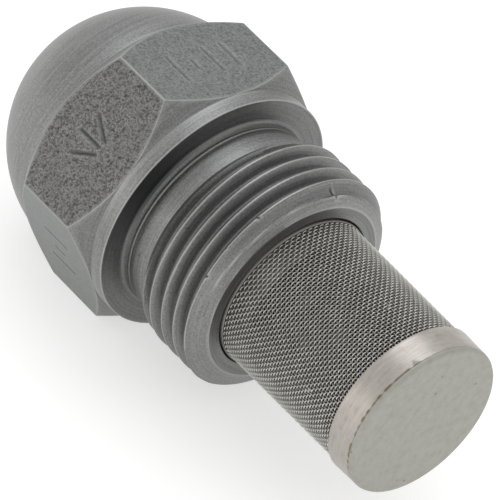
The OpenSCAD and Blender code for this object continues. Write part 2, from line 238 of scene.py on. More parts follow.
# Each flat's angle, how strongly its skin is pitted, how hard it is stamped, and its strokes
flats = {30: (0.65, 0, []), 90: (0.60, 0.45, bar_strokes(4)), 150: (1.0, 0.9, spray_fan_strokes()),
         210: (0.25, 0.6, bar_strokes(3)), 270: (0.5, 0, []), 330: (0.75, 0, [])}
stamp_half, stamp_depth = 0.10, 0.112
pit_count, pit_depth, grain_depth, wave_depth = 760, 0.034, 0.011, 0.006
mark_middle = (rear_corner + front_corner) / 2
flat_rows = 56
share = np.linspace(0, 1, flat_rows + 1)[:, None]
flat_a = flat_start + share * (flat_end - flat_start)
sunk, pit_shade_and_oil, stamped, skin = (np.zeros((flat_rows + 1, 720)) for _ in range(4))
for number, (strength, stamp_force, strokes) in enumerate(flats.values()):
    columns = slice(number * 120, number * 120 + 120)
    u = np.broadcast_to(along_flat[columns], flat_a[:, columns].shape)
    v = flat_a[:, columns]
    edge = np.minimum(np.minimum(v - flat_start[columns], flat_end[columns] - v),
                      corner_r / 2 - np.abs(u))
    inner = np.clip((edge - 0.03) / 0.12, 0, 1)
    pit = np.zeros(u.shape)
    for _ in range(int(pit_count * (0.4 + 0.6 * strength))):
        centre_u, centre_v = rng.uniform(-4.6, 4.6), rng.uniform(8.2, 14.6)
        size, stretch, lean = rng.uniform(0.04, 0.085), rng.uniform(1, 1.8), rng.uniform(0, math.pi)
        du, dv = u - centre_u, v - centre_v
        p = (du * math.cos(lean) + dv * math.sin(lean)) / (size * stretch)
        q = (dv * math.cos(lean) - du * math.sin(lean)) / size
        pit = np.maximum(pit, np.clip(1.15 - p * p - q * q, 0, 1) * rng.uniform(0.5, 1))
    rough = 0.5 * smooth_noise(u, v, 0.09) + 0.5 * smooth_noise(u, v, 0.16)
    waves = smooth_noise(u, v, 1.4)
    stamp = np.zeros(u.shape)
    for start, end in strokes:
        far = to_stroke(-u, v - mark_middle, start, end)
        groove = np.clip((stamp_half + 0.04 - far) / 0.1, 0, 1)
        rim = np.exp(-(((far - stamp_half - 0.1) / 0.07) ** 2))
        stroke = np.where(groove > 0, groove, -0.1 * rim)
        stamp = np.where(groove + rim > np.abs(stamp), stroke, stamp)
    stamp = stamp * np.where(stamp > 0, stamp_force, 1)
    pit = pit * inner * (1 - np.clip(stamp, 0, 1))
    sunk[:, columns] = (pit_depth * strength * pit - grain_depth * (0.35 + strength) * rough * inner
                        + wave_depth * (waves + 1) * inner + stamp_depth * stamp * (edge > 0.02))
    pit_shade_and_oil[:, columns] = pit * strength
    skin[:, columns] = inner * strength * (1 - np.clip(stamp, 0, 1))
    stamped[:, columns] = stamp
sunk = np.maximum(sunk, 0)

# The lines of the head, from the shoulder to the tip: heights and radii at all columns
rim_round, crease = 0.05, 0.035
rows, wear_highlight_rows, flat_row_of = [], [], {}


# Each row of the head may carry pale edges, partly worn by handling and partly painted highlight
def head_row(a, r, wear_and_highlight=0.0, turn=head_turn):
    rows.append(around_axis(a, r, turn))
    wear_highlight_rows.append(np.broadcast_to(wear_and_highlight, (len(turn),)).astype(float))


head_row(shoulder, collar_r - 0.4)
head_row(shoulder, collar_r - rim_round - 0.02)
for lift in np.radians([0, 30, 60, 90]):
    head_row(shoulder + rim_round * (1 - math.cos(lift)),
             collar_r - rim_round * (1 - math.sin(lift)), 0.5)
head_row(shoulder + rim_round + 0.03, collar_r)
head_row((shoulder + bevel_foot) / 2, collar_r)
head_row(bevel_foot - 0.02, collar_r, 0.3)
bevel_l = flat_start - bevel_foot
near_crease = np.minimum(crease, 0.3 * bevel_l)
corner_wear_highlight = 0.7 * np.exp(-((off_corner / math.radians(0.22)) ** 2))
for part in (0, 0.35, 0.7):
    head_row(bevel_foot + part * (bevel_l - near_crease),
             collar_r + part * (bevel_l - near_crease) * rear_slope, 0.2 * corner_wear_highlight)
head_row(flat_start - near_crease, hexagon - near_crease * rear_slope, 0.2)
head_row(flat_start, hexagon - 0.009 * near_crease / crease, 0.65)
flat_normal = np.repeat(np.radians(list(flats)), 120)
first_flat_row = len(rows)
for number in range(1, flat_rows):
    a = flat_a[number].copy()
    if number == 1:
        a = flat_start + crease
    if number == flat_rows - 1:
        a = flat_end - crease
    head_row(a, hexagon, np.maximum(corner_wear_highlight, 0.2 if number in (1, flat_rows - 1) else 0))
    inwards = np.stack([np.zeros(720), np.cos(flat_normal), np.sin(flat_normal)], -1)
    rows[-1] = rows[-1] - inwards * sunk[number][:, None]
    flat_row_of[len(rows) - 1] = number
last_flat_row = len(rows) - 1
head_row(flat_end, hexagon - 0.007, 0.65)

# The front bevel runs on until it meets the dome
slope_sum = 1 + front_slope ** 2
cone_top = front_corner + corner_r / front_slope
half_b = cone_top * front_slope ** 2 + dome_centre
under_root = half_b ** 2 - slope_sum * (
    (cone_top * front_slope) ** 2 + dome_centre ** 2 - dome_r ** 2)
dome_start = (half_b - math.sqrt(under_root)) / slope_sum
dome_start_r = (cone_top - dome_start) * front_slope
bevel_l = dome_start - flat_end
for part in (0.22, 0.6, 0.88):
    head_row(flat_end + part * bevel_l, hexagon - part * bevel_l * front_slope
             - (hexagon - bevel_l * front_slope - dome_start_r) * part, 0.15)
head_row(dome_start, dome_start_r - 0.004, 0.35)
dome_from = math.asin((dome_start - dome_centre) / dome_r)
dome_to = math.acos(tip_r / dome_r)
dome_rows = 26
for step, lift in enumerate(np.linspace(dome_from, dome_to, dome_rows)):
    if step in (0, dome_rows - 1):
        lift += (0.006, -0.006)[step > 0]
    head_row(dome_centre + dome_r * math.sin(lift), dome_r * math.cos(lift), 0, dome_turn)
head_row(tip - 0.012, tip_r, 0.9, dome_turn)
head_row(tip, tip_r - 0.05, 0.5, dome_turn)

# The bores, back from the tip to the sealing face
hole_r, hole_lip, bore_r, rear_bore_r, rear_bore_l = 2.7, 0.15, 4.35, 5.15, 3.2
mouth_bevel, seat_top, seat_foot = 0.05, 19.194, 17.544
tap_pitch, tap_depth, tap_from, tap_to = 0.75, 0.32, 3.774, 14.22
tap_run = tap_depth * math.tan(math.radians(30))
bore_line = [(tip, hole_r + hole_lip), (tip - hole_lip, hole_r), (seat_top + 0.4, hole_r),
             (seat_top, hole_r), (seat_foot, bore_r)]
tap_rings = int((tap_to - tap_from) / tap_pitch)
for number in reversed(range(tap_rings)):
    crest = tap_from + number * tap_pitch
    bore_line += [(crest + tap_pitch, bore_r), (crest + tap_pitch - tap_run, bore_r + tap_depth),
                  (crest + tap_pitch / 8 + tap_run, bore_r + tap_depth),
                  (crest + tap_pitch / 8, bore_r)]
bore_line += [(rear_bore_l, bore_r), (rear_bore_l, rear_bore_r), (rear_bore_l / 2, rear_bore_r),
              (mouth_bevel, rear_bore_r), (0, rear_bore_r + mouth_bevel)]
for a, r in bore_line:
    head_row(a, r, 0, bore_turn)
head_row(0, (rear_bore_r + mouth_bevel + lead_in_r) / 2, 0, shank_turn)
head_row(0, lead_in_r - 0.03, 0, shank_turn)

# The thread. Its lines follow the helix and are cut off at both ends, so that the crests, flanks
# and roots run as on the lathe. Half of the profile is given, from a crest to the next root.
half_profile = [(0, 7.144), (0.052, 7.144), (0.070, 7.136), (0.090, 7.105), (0.20, 6.914),
                (0.32, 6.706), (0.41, 6.556), (0.47, 6.506)]
profile = half_profile + [(pitch / 2, 6.494)] + [(pitch - a, r) for a, r in half_profile[:0:-1]]
crest_a, crest_turn = 0.791, math.radians(136.1)
line_count = len(profile)
turns = math.ceil(thread_end / pitch) + 3
line_a = np.array([(turn - 2) * pitch + a for turn in range(turns) for a, _ in profile])
line_r = np.array([r for _ in range(turns) for _, r in profile])
seam_a = crest_a + pitch * crest_turn / (2 * math.pi)
helix_a = seam_a + line_a[:, None] - pitch * shank_turn / (2 * math.pi)
thread_a = np.clip(helix_a, 0, thread_end)
outline = np.interp(thread_a, [0, lead_in_l, full_thread, thread_end],
                    [lead_in_r, thread_r, thread_r, relief_r])
cut_off = (helix_a <= 0) | (helix_a >= thread_end)
thread_line_r = np.where(cut_off, outline, np.minimum(line_r[:, None], outline))
on_crest = (np.arange(len(line_r)) % line_count == 0)[:, None]
# Pale lines on the thread: crests and nick lips partly worn and partly painted highlight; the pale
# line where the lead-in cone meets the first root is painted highlight only
thread_wear_highlight = 0.6 * on_crest * (line_r[:, None] <= outline)
painted_root_highlight = np.exp(-(((outline - line_r[:, None]) / 0.035) ** 2))
painted_root_highlight = painted_root_highlight * (outline < 6.62) * (thread_a < 0.5)
thread_wear_highlight = np.maximum(thread_wear_highlight, 0.7 * painted_root_highlight)
thread_wear_highlight = np.maximum(thread_wear_highlight, 0.45 * np.exp(-((thread_a / 0.05) ** 2)))
thread_nicked = np.zeros(thread_a.shape)
round_mm = thread_r * shank_turn
for (from_a, from_turn), (to_a, to_turn), half, depth in nicks:
    far = to_stroke(thread_a, round_mm, (from_a, thread_r * math.radians(from_turn)),
                    (to_a, thread_r * math.radians(to_turn)))
    nick = np.clip(1.5 - far / half, 0, 1)
    thread_line_r = thread_line_r - depth * nick
    thread_nicked = np.maximum(thread_nicked, nick)
    lip = 0.5 * np.exp(-(((far - 2.2 * half) / 0.04) ** 2))
    thread_wear_highlight = np.maximum(thread_wear_highlight * (1 - nick), lip)
thread_points = around_axis(thread_a, thread_line_r, shank_turn)
# Painted shade in the thread's grooves, darker deeper in them
thread_painted_shade = 0.4 * np.clip((outline - line_r[:, None]) / 0.4, 0, 1)

# The relief and the shoulder, from the thread's end up to the collar
relief_fillet = 0.22
relief_line = [(thread_end + 0.04, relief_r), (5.72, relief_r), (6.32, relief_r), (6.68, relief_r),
               (6.72, relief_r - 0.02), (6.78, relief_r - 0.02), (6.82, relief_r),
               (6.92, relief_r - 0.004), (6.96, relief_r - 0.03), (7.02, relief_r - 0.03)]
for lift in np.radians([0, 22, 45, 67, 90]):
    relief_line.append((shoulder - relief_fillet * (1 - math.sin(lift)),
                        relief_r + relief_fillet * (1 - math.cos(lift))))
relief_line.append((shoulder, relief_r + relief_fillet + 0.04))
relief_rows = [around_axis(a, r, shank_turn) for a, r in relief_line]

# All rings in order, once round the section of the metal: relief, head, bores, face, thread
blocks = relief_rows + rows
starts = np.cumsum([0] + [len(block) for block in blocks])
numbers = [np.arange(start, start + len(block)) for start, block in zip(starts, blocks)]
thread_numbers = starts[-1] + np.arange(thread_points[..., 0].size).reshape(helix_a.shape)
body_points = np.concatenate(blocks + [thread_points.reshape(-1, 3)])
quads, finish = [], []
for lower, upper, kind in zip(numbers, numbers[1:], range(len(numbers) - 1)):
    quads.append(between(lower, upper))
    row = kind - len(relief_rows)
    on_flats = first_flat_row - 1 <= row < last_flat_row + 1
    finish.append(np.full(len(quads[-1]), 1 if on_flats else 0))
for closing in (between(numbers[-1], thread_numbers[0]),
                between(thread_numbers[-1], numbers[0])):
    quads.append(closing)
    finish.append(np.zeros(len(closing)))
ahead = np.roll(thread_numbers, -1, axis=1)
ahead[line_count:, -1] = thread_numbers[:-line_count, 0]
ahead[:line_count, -1] = thread_numbers[0, 0]
thread_quads = np.stack([thread_numbers[:-1], ahead[:-1], ahead[1:], thread_numbers[1:]], -1)
quads.append(thread_quads.reshape(-1, 4))
finish.append(np.zeros(len(quads[-1])))

wear_and_highlight = np.concatenate([np.zeros(sum(map(len, relief_rows)))] + wear_highlight_rows + [thread_wear_highlight.ravel()])
body_pit_shade_and_oil, body_stamped, body_skin, body_painted_shade = (np.zeros(len(wear_and_highlight)) for _ in range(4))
for row, number in flat_row_of.items():
    place = numbers[len(relief_rows) + row]
    body_pit_shade_and_oil[place] = pit_shade_and_oil[number]
    body_stamped[place] = stamped[number]
    body_skin[place] = skin[number]
# The nicks on the thread are darkened like the pits: painted shade and oil
body_pit_shade_and_oil[-thread_nicked.size:] = thread_nicked.ravel()
# Painted shade: the corner under the collar is darkened, most of all on one side, and the bevel in
# front of the collar, the sealing face and the thread are darkened thinly
shade_pool_deg, shade_pool_wide_deg, thin_painted_shade = 148, 28, 0.25
shoulder_rows = numbers[len(relief_rows) - 5:len(relief_rows) + 2]
bevel_rows, face_rows = numbers[len(relief_rows) + 9:len(relief_rows) + 13], numbers[-2:]
for place in shoulder_rows:
    at_deg = np.degrees(np.arctan2(body_points[place, 2], body_points[place, 1])) % 360
    body_painted_shade[place] = 0.3 + 0.7 * np.exp(-(((at_deg - shade_pool_deg) / shade_pool_wide_deg) ** 2))
for place in bevel_rows + face_rows:
    body_painted_shade[place] = thin_painted_shade
body_painted_shade[-thread_painted_shade.size:] = thread_painted_shade.ravel()
nozzle_body = outward(piece_from(
    "body_shell", body_points, np.concatenate(quads), np.concatenate(finish),
    {"wear_and_highlight": wear_and_highlight, "pit_shade_and_oil": body_pit_shade_and_oil, "stamped": body_stamped, "skin": body_skin,
     "painted_shade": body_painted_shade}))


def linear(colour):
    """A linear colour from an sRGB hex value."""
    parts = [int(colour[i:i + 2], 16) / 255 for i in (1, 3, 5)]
    return tuple(p / 12.92 if p <= 0.04045 else ((p + 0.055) / 1.055) ** 2.4 for p in parts) + (1,)


def feed(tree, node, inputs):
    """Sets or links a shader node's inputs."""
    for name, value in inputs.items():
        if isinstance(value, bpy.types.NodeSocket):
            tree.links.new(value, node.inputs[name])
        else:
            node.inputs[name].default_value = value
    return node


def add(tree, kind, inputs, **settings):
    """A new shader node with its settings and its inputs."""
    made = tree.nodes.new(kind)
    for name, value in settings.items():
        setattr(made, name, value)
    return feed(tree, made, inputs)


def new_finish(name):
    """An empty material, its node tree and its surface shader."""
    made = bpy.data.materials.new(name)
    made.use_nodes = True
    return made, made.node_tree, made.node_tree.nodes["Principled BSDF"]


def lathe_lines(tree, per_mm, wander):
    """Noise drawn out round the axis, as a lathe tool leaves it, with so many lines to the mm."""
    place = add(tree, "ShaderNodeTexCoord", {}).outputs["Object"]
    split = add(tree, "ShaderNodeSeparateXYZ", {"Vector": place})
    across = add(tree, "ShaderNodeCombineXYZ", {"Y": split.outputs["Y"], "Z": split.outputs["Z"]})
    radius = add(tree, "ShaderNodeVectorMath", {0: across.outputs[0]}, operation="LENGTH")
    turn = add(tree, "ShaderNodeMath", {0: split.outputs["Z"], 1: split.outputs["Y"]},
               operation="ARCTAN2")
    line = per_mm / MM
    along = add(tree, "ShaderNodeMath", {0: split.outputs["X"], 1: line}, operation="MULTIPLY")
    out = add(tree, "ShaderNodeMath", {0: radius.outputs["Value"], 1: line}, operation="MULTIPLY")
    slow = add(tree, "ShaderNodeMath", {0: turn.outputs[0], 1: wander}, operation="MULTIPLY")
    where = add(tree, "ShaderNodeCombineXYZ",
                {"X": along.outputs[0], "Y": out.outputs[0], "Z": slow.outputs[0]})
    return add(tree, "ShaderNodeTexNoise",
               {"Vector": where.outputs[0], "Scale": 1.0, "Detail": 3.0, "Roughness": 0.6})


def turned_steel():
    """Free-cutting steel as it leaves the lathe, dulled by oil: satin grey, with fine lines
    round the axis, a few tiny pits darkened as painted shade and oil, pale thin edges partly worn
    by handling and partly painted highlight, and painted shade in its corners, on the bevel in
    front of the collar, on the sealing face and in the thread."""
    made, tree, surface = new_finish("turned_free_cutting_steel")
    lines = lathe_lines(tree, 10, 1.5)
    place = add(tree, "ShaderNodeTexCoord", {}).outputs["Object"]
    grain = add(tree, "ShaderNodeTexNoise", {
        "Vector": place, "Scale": 9 / MM, "Detail": 2.0, "Roughness": 0.7})
    both = add(tree, "ShaderNodeMix", {0: 0.55, 2: lines.outputs["Fac"], 3: grain.outputs["Fac"]})
    tone = add(tree, "ShaderNodeValToRGB", {"Fac": both.outputs[0]})
    for stop, at, shade in zip(tone.color_ramp.elements, (0.40, 0.60), ("#777877", "#989897")):
        stop.position, stop.color = at, linear(shade)
    # Tiny pits and the nicks are darkened as painted shade and oil
    cell = add(tree, "ShaderNodeTexVoronoi", {"Vector": place, "Scale": 0.7 / MM})
    speck = add(tree, "ShaderNodeMapRange", {
        "Value": cell.outputs["Distance"], "From Min": 0.055, "From Max": 0.03, "To Max": 0.5})
    nick = add(tree, "ShaderNodeAttribute", {}, attribute_name="pit_shade_and_oil")
    spots = add(tree, "ShaderNodeMath", {0: speck.outputs["Result"], 1: nick.outputs["Fac"]},
                operation="MAXIMUM")
    spotted = add(tree, "ShaderNodeMix", {
        0: spots.outputs[0], 6: tone.outputs["Color"], 7: linear("#2a2a2a")}, data_type="RGBA")
    # Painted shade: mixes the colour towards dark grey in the corners, on the bevel, the sealing
    # face and the thread
    painted_shade_node = add(tree, "ShaderNodeAttribute", {}, attribute_name="painted_shade")
    shaded_tone = add(tree, "ShaderNodeMix", {
        0: painted_shade_node.outputs["Fac"], 6: spotted.outputs[2], 7: linear("#4a4b4b")}, data_type="RGBA")
    # Pale edges: partly worn by handling, partly painted highlight
    edge = add(tree, "ShaderNodeAttribute", {}, attribute_name="wear_and_highlight")
    colour = add(tree, "ShaderNodeMix", {
        0: edge.outputs["Fac"], 6: shaded_tone.outputs[2], 7: linear("#bcbcba")}, data_type="RGBA")
    rough = add(tree, "ShaderNodeMapRange", {"Value": both.outputs[0], "From Min": 0.35,
                                             "From Max": 0.65, "To Min": 0.38, "To Max": 0.48})
    bump = add(tree, "ShaderNodeBump", {
        "Height": both.outputs[0], "Strength": 0.3, "Distance": 0.02 * MM})
    feed(tree, surface, {"Base Color": colour.outputs[2], "Roughness": rough.outputs["Result"],
                         "Normal": bump.outputs["Normal"], "Metallic": 1.0})
    return made


def pitted_steel():
    """The drawn bar's own skin, lightly blasted: a dull grey with pits a tenth of a millimetre
    wide, darkened as painted shade and oil, smoother and paler where it is less pitted, with
    painted shade on the floors of the stamped marks, darker where deeper, and paler metal raised
    beside them."""
    made, tree, surface = new_finish("pitted_bar_steel")
    place = add(tree, "ShaderNodeTexCoord", {}).outputs["Object"]
    grain = add(tree, "ShaderNodeTexNoise", {
        "Vector": place, "Scale": 9 / MM, "Detail": 2.0, "Roughness": 0.7})
    cloud = add(tree, "ShaderNodeTexNoise", {"Vector": place, "Scale": 0.7 / MM, "Detail": 2.0})
    tone = add(tree, "ShaderNodeValToRGB", {"Fac": grain.outputs["Fac"]})
    for stop, at, shade in zip(tone.color_ramp.elements, (0.40, 0.62), ("#565655", "#999897")):
        stop.position, stop.color = at, linear(shade)
    warm = add(tree, "ShaderNodeMix", {
        0: cloud.outputs["Fac"], 6: tone.outputs["Color"], 7: linear("#7a7977")}, data_type="RGBA")
    skin = add(tree, "ShaderNodeAttribute", {}, attribute_name="skin")
    smooth = add(tree, "ShaderNodeMix", {
        0: skin.outputs["Fac"], 6: linear("#8f9291"), 7: warm.outputs[2]}, data_type="RGBA")
    fine = add(tree, "ShaderNodeMapRange", {
        "Value": grain.outputs["Fac"], "From Min": 0.46, "From Max": 0.34, "To Max": 0.6})
    fine_pit = add(tree, "ShaderNodeMath", {0: fine.outputs["Result"], 1: skin.outputs["Fac"]},
                   operation="MULTIPLY")
    # Pits darkened as painted shade and oil
    pit = add(tree, "ShaderNodeAttribute", {}, attribute_name="pit_shade_and_oil")
    both = add(tree, "ShaderNodeMath", {0: pit.outputs["Fac"], 1: fine_pit.outputs[0]},
               operation="MAXIMUM")
    dark = add(tree, "ShaderNodeMix", {
        0: both.outputs[0], 6: smooth.outputs[2], 7: linear("#3e3d3c")}, data_type="RGBA")
    # Painted shade on the floors of the stamped marks, darker where they are deeper
    stamp = add(tree, "ShaderNodeAttribute", {}, attribute_name="stamped")
    floor = add(tree, "ShaderNodeMapRange", {"Value": stamp.outputs["Fac"], "To Max": 0.8})
    stamp_shade_tone = add(tree, "ShaderNodeMix", {
        0: floor.outputs["Result"], 6: dark.outputs[2], 7: linear("#3a3a3a")}, data_type="RGBA")
    raised = add(tree, "ShaderNodeMapRange", {
        "Value": stamp.outputs["Fac"], "From Min": 0.0, "From Max": -0.1, "To Max": 0.3})
    rim = add(tree, "ShaderNodeMix", {0: raised.outputs["Result"], 6: stamp_shade_tone.outputs[2],
                                      7: linear("#a4a4a3")}, data_type="RGBA")
    # Pale edges and corners of the flats: partly worn by handling, partly painted highlight
    edge = add(tree, "ShaderNodeAttribute", {}, attribute_name="wear_and_highlight")
    colour = add(tree, "ShaderNodeMix", {
        0: edge.outputs["Fac"], 6: rim.outputs[2], 7: linear("#b4b4b3")}, data_type="RGBA")
    bump = add(tree, "ShaderNodeBump", {
        "Height": grain.outputs["Fac"], "Strength": 0.6, "Distance": 0.04 * MM})
    feed(tree, surface, {"Base Color": colour.outputs[2], "Normal": bump.outputs["Normal"],
                         "Metallic": 1.0, "Roughness": 0.5})
    return made


body_steel = turned_steel()
nozzle_body.data.materials.append(body_steel)
nozzle_body.data.materials.append(pitted_steel())
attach(nozzle_body, "body")
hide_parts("nozzle_body")


# ----------------------------------
# Orifice disc. Ground stainless steel: its cone seats in the front of the body, its cup takes
# the distributor, and the oil leaves through the fine hole in the dimple of its nose.
def turned_piece(name, line, columns=240, marks=None, sharp_deg=30):
    """A closed outline of (height, radius) points, turned round the axis."""
    turn = np.linspace(0, 2 * math.pi, columns, endpoint=False)
    rings = [np.arange(columns) + columns * number for number in range(len(line))]
    points = np.concatenate([around_axis(a, r, turn) for a, r in line])
    pairs = zip(rings, rings[1:] + rings[:1])
    quads = np.concatenate([between(lower, upper) for lower, upper in pairs])
    return outward(piece_from(name, points, quads, None, marks, sharp_deg))


disc_r, nose_r, disc_back, nose_front = 4.28, 2.63, 14.994, tip - 0.15
cup_r, cup_top, swirl_r, swirl_back, swirl_front = 3.38, 16.484, 0.65, 19.214, 19.814
orifice_r, orifice_back, dimple_r, dimple_depth = 0.15, 20.314, 0.90, 0.35
disc_edge, disc_front = 0.05, seat_foot - 0.05
disc_line = [(disc_back + disc_edge, cup_r), (disc_back, cup_r + disc_edge),
             (disc_back, disc_r - disc_edge), (disc_back + disc_edge, disc_r),
             (disc_front, disc_r), (disc_front + disc_r - nose_r, nose_r),
             (nose_front - disc_edge, nose_r), (nose_front, nose_r - disc_edge),
             (nose_front, dimple_r + 0.03)]
for part in np.linspace(0, 1, 8):
    disc_line.append((nose_front - dimple_depth * part,
                      dimple_r - (dimple_r - orifice_r) * math.sin(part * math.pi / 2)))
disc_line += [(orifice_back, orifice_r), (swirl_front, swirl_r), (swirl_back, swirl_r),
              (cup_top, cup_r)]
orifice_disc = turned_piece("orifice_tip", disc_line)


def bare_metal(name, pattern, dark, light, rough, groove=0.0, metallic=1.0):
    """A metal that runs from dark to light with a pattern, and has grooves of a depth in mm."""
    made, tree, surface = new_finish(name)
    height = pattern(tree).outputs["Fac"]
    tone = add(tree, "ShaderNodeValToRGB", {"Fac": height})
    for stop, at, shade in zip(tone.color_ramp.elements, (0.3, 0.7), (dark, light)):
        stop.position, stop.color = at, linear(shade)
    feed(tree, surface, {"Base Color": tone.outputs["Color"], "Metallic": metallic,
                         "Roughness": rough})
    if groove:
        bump = add(tree, "ShaderNodeBump", {
            "Height": height, "Strength": 0.25, "Distance": groove * MM})
        feed(tree, surface, {"Normal": bump.outputs["Normal"]})
    return made


# Stainless steel, ground: pale, slightly warm grey and nearly bright, with very fine rings
stainless = bare_metal("ground_stainless_steel", lambda tree: lathe_lines(tree, 10, 0.5),
                       "#b4b3b0", "#c9c8c5", 0.28, 0.01)
orifice_disc.data.materials.append(stainless)
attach(orifice_disc, "orifice")
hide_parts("orifice_disc")


# ----------------------------------
# Swirl distributor. The same ground stainless steel: a cone with four slots cut beside its
# middle, so that the oil enters the swirl chamber spinning. Its foot rests on the screw.
def cut_away(made, boxes):
    """Cuts boxes out of a piece. Each is (middle, half sizes, turn about X, lean about Y)."""
    for middle, half, turn, lean in boxes:
        corners = np.array([(x, y, z) for x in (-1, 1) for y in (-1, 1) for z in (-1, 1)]) * half
        mesh = bpy.data.meshes.new("cutter")
        mesh.from_pydata((corners * MM).tolist(), [], [
            (0, 1, 3, 2), (4, 6, 7, 5), (0, 4, 5, 1), (2, 3, 7, 6), (0, 2, 6, 4), (1, 5, 7, 3)])
        cutter = bpy.data.objects.new("cutter", mesh)
        turned = Matrix.Rotation(turn, 4, "X") @ Matrix.Translation(Vector(middle) * MM)
        cutter.matrix_world = turned @ Matrix.Rotation(lean, 4, "Y")
        bpy.context.scene.collection.objects.link(cutter)
        bpy.context.view_layer.update()
        cut = made.modifiers.new("cut", "BOOLEAN")
        cut.operation, cut.solver, cut.object = "DIFFERENCE", "EXACT", cutter
        evaluated = made.evaluated_get(bpy.context.evaluated_depsgraph_get())
        result = bpy.data.meshes.new_from_object(evaluated)
        made.modifiers.clear()
        made.data = result
        bpy.data.objects.remove(cutter)
    made.data.shade_smooth()
    made.data.set_sharp_from_angle(angle=math.radians(30))
    return made


guide_r, stem_r, foot_r, cone_tip_r = 3.31, 2.3, 3.01, 0.70
cone_tip, cone_foot, guide_back = 19.114, 16.504, 15.604
foot_front, distributor_back, foot_edge, guide_edge = 14.104, 12.904, 0.06, 0.05
distributor_line = [
    (distributor_back, 0), (distributor_back, foot_r - foot_edge),
    (distributor_back + foot_edge, foot_r), (foot_front - foot_edge, foot_r),
    (foot_front, foot_r - foot_edge), (foot_front, stem_r), (guide_back, stem_r),
    (guide_back, guide_r - guide_edge), (guide_back + guide_edge, guide_r),
    (cone_foot, guide_r), (cone_tip, cone_tip_r), (cone_tip, 0)]
distributor = turned_piece("swirl_cone", distributor_line)
slot_w, slot_depth, slot_off = 0.45, 0.35, 0.65
middle_a, middle_r = (cone_tip + cone_foot) / 2, (cone_tip_r + guide_r) / 2
distributor = cut_away(distributor, [
    ((-middle_a, slot_off, middle_r), (2.8, slot_w / 2, slot_depth), turn, math.radians(-45))
    for turn in np.radians([0, 90, 180, 270])])
distributor.data.materials.clear()
distributor.data.materials.append(stainless)
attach(distributor, "distributor")
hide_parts("swirl_distributor")


# ----------------------------------
# Retaining screw. Turned brass: threaded outside, drilled through for the oil, with a driver
# slot behind and two crossed ports in front. It clamps the distributor into the orifice disc.
def threaded_line(back, front, r, depth, step):
    """The outline of a screwed shaft, as one ring of thread after another."""
    run = depth * math.tan(math.radians(30))
    rings = int((front - back - 2 * depth - step / 8) / step)
    line = [(back, r - depth), (back + depth * 0.42, r - depth)]
    for number in range(rings):
        crest = back + depth + number * step
        line += [(crest, r), (crest + step / 8, r), (crest + step / 8 + run, r - depth),
                 (crest + step - run, r - depth)]
    return line + [(front, r - depth)]


screw_back, screw_front, screw_r, screw_hole_r, chamfer = 9.454, 12.854, 4.28, 1.0, 0.1
screw_line = [(screw_back, screw_hole_r + chamfer)]
screw_line += threaded_line(screw_back, screw_front, screw_r, tap_depth, tap_pitch)
screw_line += [(screw_front, screw_hole_r + chamfer), (screw_front - chamfer, screw_hole_r),
               (screw_back + chamfer, screw_hole_r)]
driver_w, driver_depth = 1.1, 1.0
retaining_screw = cut_away(turned_piece("clamp_screw", screw_line), [
    ((-screw_back, 0, 0), (driver_depth, driver_w / 2, 6), 0, 0),
    ((-screw_front, 0, 0), (driver_depth, driver_w / 2, 6), 0, 0),
    ((-screw_front, 0, 0), (driver_depth, driver_w / 2, 6), math.radians(90), 0)])


# Free-cutting brass, turned: warm yellow with fine rings and soft, wide highlights
retaining_screw.data.materials.clear()
retaining_screw.data.materials.append(bare_metal(
    "turned_brass", lambda tree: lathe_lines(tree, 6, 1.0), "#b8975a", "#d8bd80", 0.3, 0.015))
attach(retaining_screw, "screw")
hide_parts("retaining_screw")


# ----------------------------------
# Strainer hub. Brass dulled by oil: a threaded tail that screws into the body, a collar that
# fills the mouth of the body, a land for the woven wire and a spigot for the support core.
hub_low, hub_high = (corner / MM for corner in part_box("strainer_hub"))
hub_collar_r, hub_collar_front, hub_front = 5.08, 3.15, -hub_low.x
passage_r, land_top, land_foot, land_r, spigot_r = 3.0, -0.13, -1.63, 4.846, 4.26
hub_line = [(-hub_high.x, passage_r), (-hub_high.x, spigot_r), (land_foot, spigot_r),
            (land_foot, land_r - 0.014), (land_top, land_r), (land_top, hub_collar_r - 0.06),
            (land_top + 0.03, hub_collar_r - 0.02), (land_top + 0.08, hub_collar_r),
            (hub_collar_front - chamfer, hub_collar_r),
            (hub_collar_front, hub_collar_r - chamfer)]
hub_line += threaded_line(hub_collar_front, hub_front, screw_r, tap_depth, tap_pitch)
hub_line += [(hub_front, passage_r + chamfer), (hub_front - chamfer, passage_r)]
hub = turned_piece("strainer_hub_ring", hub_line)


# Brass under a film of burner oil: brown-grey and satin, brighter on its turned rings
hub.data.materials.append(bare_metal(
    "oil_dulled_brass", lambda tree: lathe_lines(tree, 6, 0.8), "#716f6b", "#8c8a86", 0.4, 0.005))
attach(hub, "strainer")
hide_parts("strainer_hub")


# ----------------------------------
# Support core. A thin steel tube with five rows of drilled holes, pressed onto the hub's spigot.
# It keeps the woven wire round, and shows only as dark metal behind the wires.
def patches(tree, per_mm):
    """Noise that changes slowly from one patch of metal to the next."""
    place = add(tree, "ShaderNodeTexCoord", {}).outputs["Object"]
    return add(tree, "ShaderNodeTexNoise", {
        "Vector": place, "Scale": per_mm / MM, "Detail": 5.0, "Roughness": 0.7})


# Phosphated steel, soaked in oil: nearly black, brownish and dull
core_finish = bare_metal("phosphated_steel", lambda tree: patches(tree, 2),
                         "#0e0d0d", "#1d1b1a", 0.8, metallic=0.3)
support_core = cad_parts["strainer_support_core"]
for index in range(max(1, len(support_core.material_slots))):
    if support_core.material_slots:
        support_core.material_slots[index].material = core_finish
    else:
        support_core.data.materials.append(core_finish)


